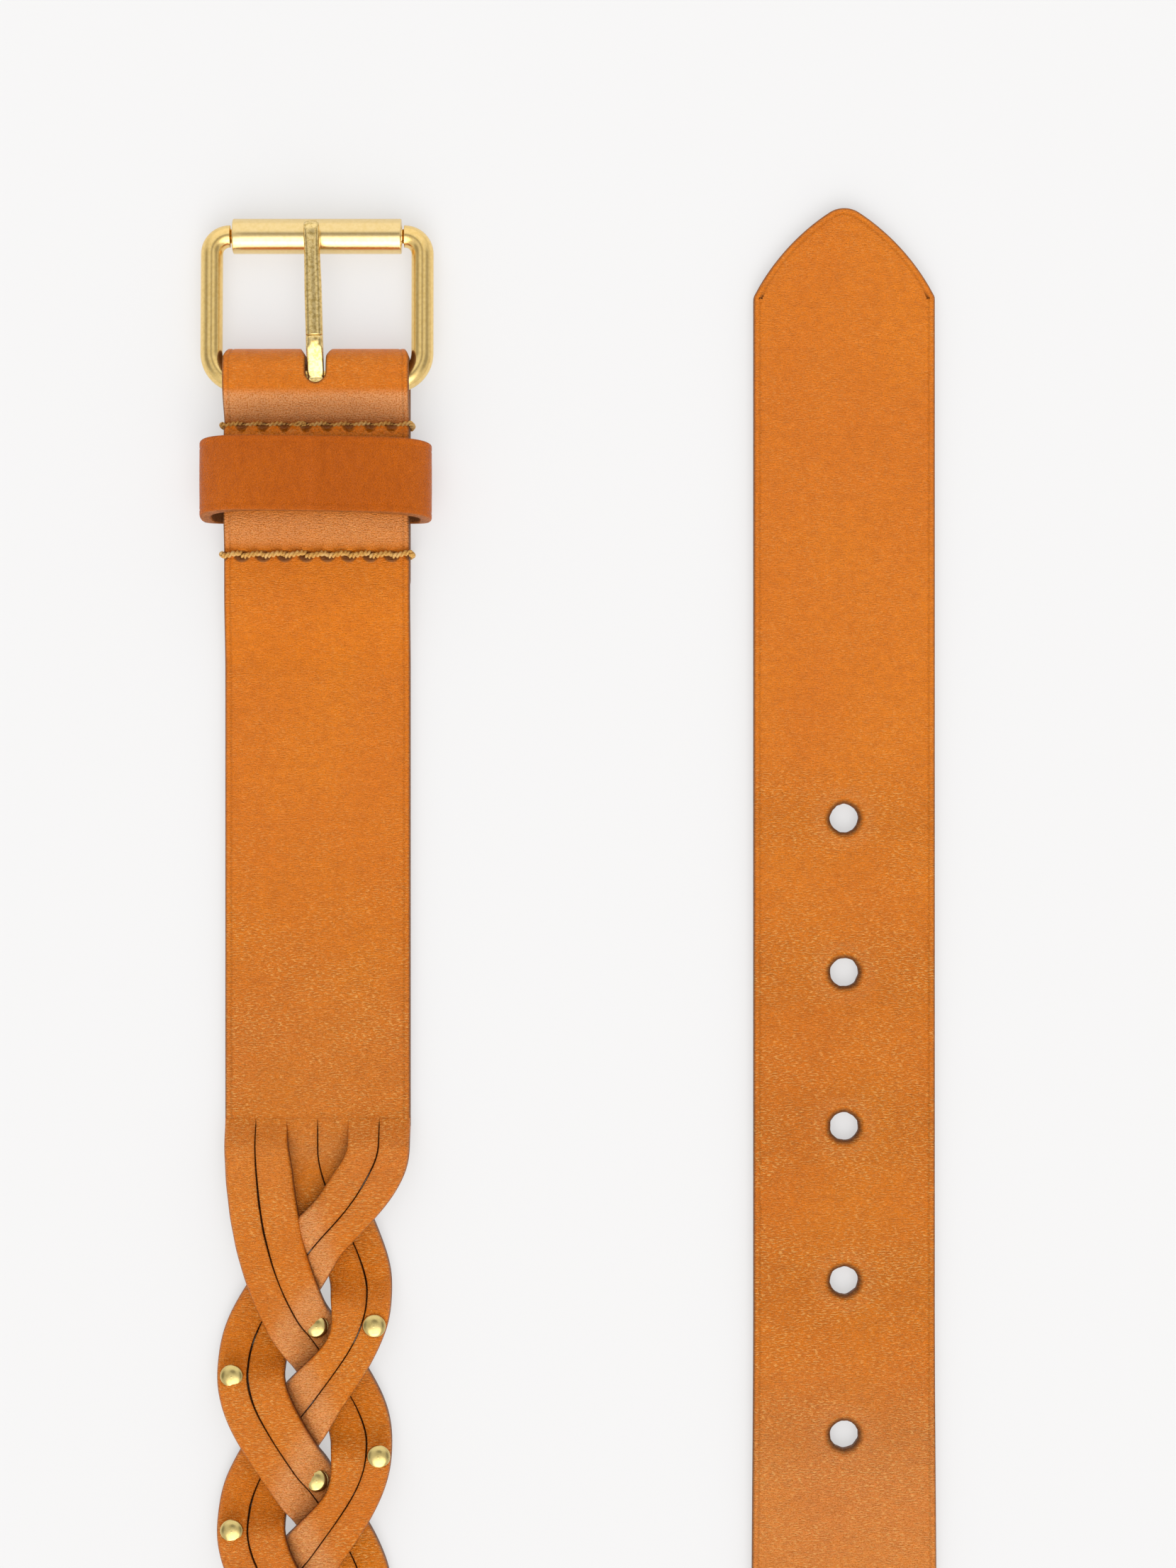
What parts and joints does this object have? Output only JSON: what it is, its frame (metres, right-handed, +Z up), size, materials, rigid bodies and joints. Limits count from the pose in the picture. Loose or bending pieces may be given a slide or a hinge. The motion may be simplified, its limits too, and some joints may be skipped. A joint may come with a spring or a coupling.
{
  "type": "braided leather belt",
  "caption": "Tan leather belt with a roller buckle, a stitched keeper and a braided, riveted middle, lying open in a U with both ends flat.",
  "frame": {"origin": "centre of the bounding box's base, on the table that the belt lies on", "axes": "+Y along both legs towards the buckle and the tip, +Z up from the table, +X from the buckle leg to the pointed leg"},
  "size_m": [0.1192, 0.5174, 0.0293],
  "materials": {
    "strap_leather": "satin vegetable-tanned tan leather with a fine grain",
    "keeper_leather": "satin tan leather, lightly scratched",
    "braid_leather": "satin tan leather with dark raw cut edges",
    "buckle_brass": "satin, lightly aged",
    "rivet_brass": "satin dome",
    "thread": "waxed twisted thread",
    "staple_steel": "plain wire"
  },
  "bodies": {
    "strap": {"strap_body": "strap_leather", "strand_1_left": "braid_leather", "strand_2_left": "braid_leather", "strand_3_left": "braid_leather", "strand_4_left": "braid_leather", "strand_5_left": "braid_leather", "strand_6_left": "braid_leather", "rivet_caps_left": "rivet_brass", "rivet_backs_left": "rivet_brass"},
    "buckle_end": {"buckle_strap": "strap_leather", "keeper_loop": "keeper_leather", "keeper_staples": "staple_steel", "front_stitches": "thread", "rear_stitches": "thread"},
    "frame": {"buckle_frame": "buckle_brass"},
    "roller": {"roller": "buckle_brass"},
    "prong": {"prong": "buckle_brass"},
    "return_leg": {"strand_1_right": "braid_leather", "strand_2_right": "braid_leather", "strand_3_right": "braid_leather", "strand_4_right": "braid_leather", "strand_5_right": "braid_leather", "strand_6_right": "braid_leather", "rivet_caps_right": "rivet_brass", "rivet_backs_right": "rivet_brass", "billet_base": "strap_leather"},
    "tip_end": {"billet_tip": "strap_leather"}
  },
  "joints": [
    {"name": "buckle_end_flex", "type": "hinge", "parent": "strap", "child": "buckle_end", "pos_m": [-0.04077, 0.15566, 0.0024], "axis": [1, 0, 0], "range_deg": [0, 70]},
    {"name": "frame_swing", "type": "hinge", "parent": "buckle_end", "child": "frame", "pos_m": [-0.04077, 0.23066, 0.004], "axis": [1, 0, 0], "range_deg": [-45, 20]},
    {"name": "roller_spin", "type": "hinge", "parent": "frame", "child": "roller", "pos_m": [-0.04077, 0.25433, 0.00285], "axis": [1, 0, 0], "continuous": true},
    {"name": "prong_swing", "type": "hinge", "parent": "frame", "child": "prong", "pos_m": [-0.04077, 0.23066, 0.004], "axis": [1, 0, 0], "range_deg": [0, 62]},
    {"name": "turn_open", "type": "hinge", "parent": "strap", "child": "return_leg", "pos_m": [0.00193, -0.25827, 0.015], "axis": [0, 0, -1], "range_deg": [0, 90]},
    {"name": "tip_end_flex", "type": "hinge", "parent": "return_leg", "child": "tip_end", "pos_m": [0.04462, 0.03406, 0.0024], "axis": [1, 0, 0], "range_deg": [0, 70]}
  ]
}
